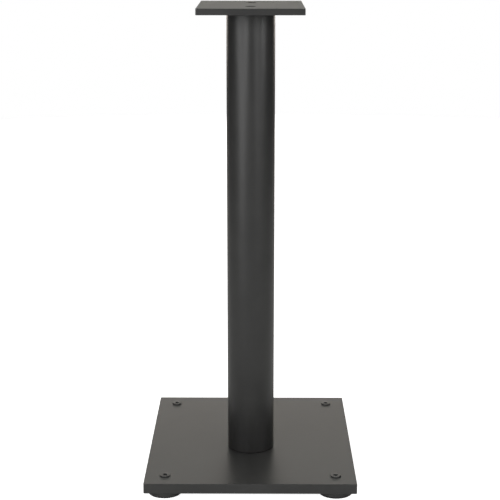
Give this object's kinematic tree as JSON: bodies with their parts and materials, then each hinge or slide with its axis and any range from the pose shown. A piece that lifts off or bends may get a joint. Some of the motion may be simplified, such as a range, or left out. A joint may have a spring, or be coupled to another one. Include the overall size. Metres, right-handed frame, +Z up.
{
  "type": "speaker stand",
  "caption": "Floor-standing loudspeaker stand: round steel column between a small top plate and a wide base plate on levelling feet that are wound down with a hex key from above.",
  "frame": {"origin": "on the floor, under the middle of the base plate", "axes": "+Z up, +Y towards the rear of the stand, +X to the right seen from the front"},
  "size_m": [0.266, 0.304, 0.6],
  "materials": {
    "graphite_coat": "fine satin powder coat, dark graphite grey",
    "bare_steel": "bare turned steel, welded",
    "black_steel": "black oxide, satin",
    "spring_steel": "phosphated spring steel",
    "black_rubber": "matt black rubber"
  },
  "bodies": {
    "stand": {"top_plate": "graphite_coat", "column_tube": "graphite_coat", "column_plug": "bare_steel", "column_screws": "black_steel", "base_plate": "graphite_coat"},
    "foot_front_left": {"foot_disc_front_left": "graphite_coat", "foot_pad_front_left": "black_rubber"},
    "screw_front_left": {"levelling_screw_front_left": "black_steel", "retaining_clip_front_left": "spring_steel"},
    "foot_front_right": {"foot_disc_front_right": "graphite_coat", "foot_pad_front_right": "black_rubber"},
    "screw_front_right": {"levelling_screw_front_right": "black_steel", "retaining_clip_front_right": "spring_steel"},
    "foot_rear_left": {"foot_disc_rear_left": "graphite_coat", "foot_pad_rear_left": "black_rubber"},
    "screw_rear_left": {"levelling_screw_rear_left": "black_steel", "retaining_clip_rear_left": "spring_steel"},
    "foot_rear_right": {"foot_disc_rear_right": "graphite_coat", "foot_pad_rear_right": "black_rubber"},
    "screw_rear_right": {"levelling_screw_rear_right": "black_steel", "retaining_clip_rear_right": "spring_steel"}
  },
  "joints": [
    {"name": "level_front_left", "type": "slide", "parent": "stand", "child": "foot_front_left", "axis": [0, 0, -1], "range_m": [0, 0.004]},
    {"name": "turn_front_left", "type": "hinge", "parent": "foot_front_left", "child": "screw_front_left", "pos_m": [-0.1075, -0.1265, 0.0214], "axis": [0, 0, -1], "range_deg": [0, 1152]},
    {"name": "level_front_right", "type": "slide", "parent": "stand", "child": "foot_front_right", "axis": [0, 0, -1], "range_m": [0, 0.004]},
    {"name": "turn_front_right", "type": "hinge", "parent": "foot_front_right", "child": "screw_front_right", "pos_m": [0.1075, -0.1265, 0.0214], "axis": [0, 0, -1], "range_deg": [0, 1152]},
    {"name": "level_rear_left", "type": "slide", "parent": "stand", "child": "foot_rear_left", "axis": [0, 0, -1], "range_m": [0, 0.004]},
    {"name": "turn_rear_left", "type": "hinge", "parent": "foot_rear_left", "child": "screw_rear_left", "pos_m": [-0.1075, 0.1265, 0.0214], "axis": [0, 0, -1], "range_deg": [0, 1152]},
    {"name": "level_rear_right", "type": "slide", "parent": "stand", "child": "foot_rear_right", "axis": [0, 0, -1], "range_m": [0, 0.004]},
    {"name": "turn_rear_right", "type": "hinge", "parent": "foot_rear_right", "child": "screw_rear_right", "pos_m": [0.1075, 0.1265, 0.0214], "axis": [0, 0, -1], "range_deg": [0, 1152]}
  ],
  "couplings": [
    {"joint": "turn_front_left", "follows": "level_front_left", "rad_per_m": 5026.5},
    {"joint": "turn_front_right", "follows": "level_front_right", "rad_per_m": 5026.5},
    {"joint": "turn_rear_left", "follows": "level_rear_left", "rad_per_m": 5026.5},
    {"joint": "turn_rear_right", "follows": "level_rear_right", "rad_per_m": 5026.5}
  ]
}
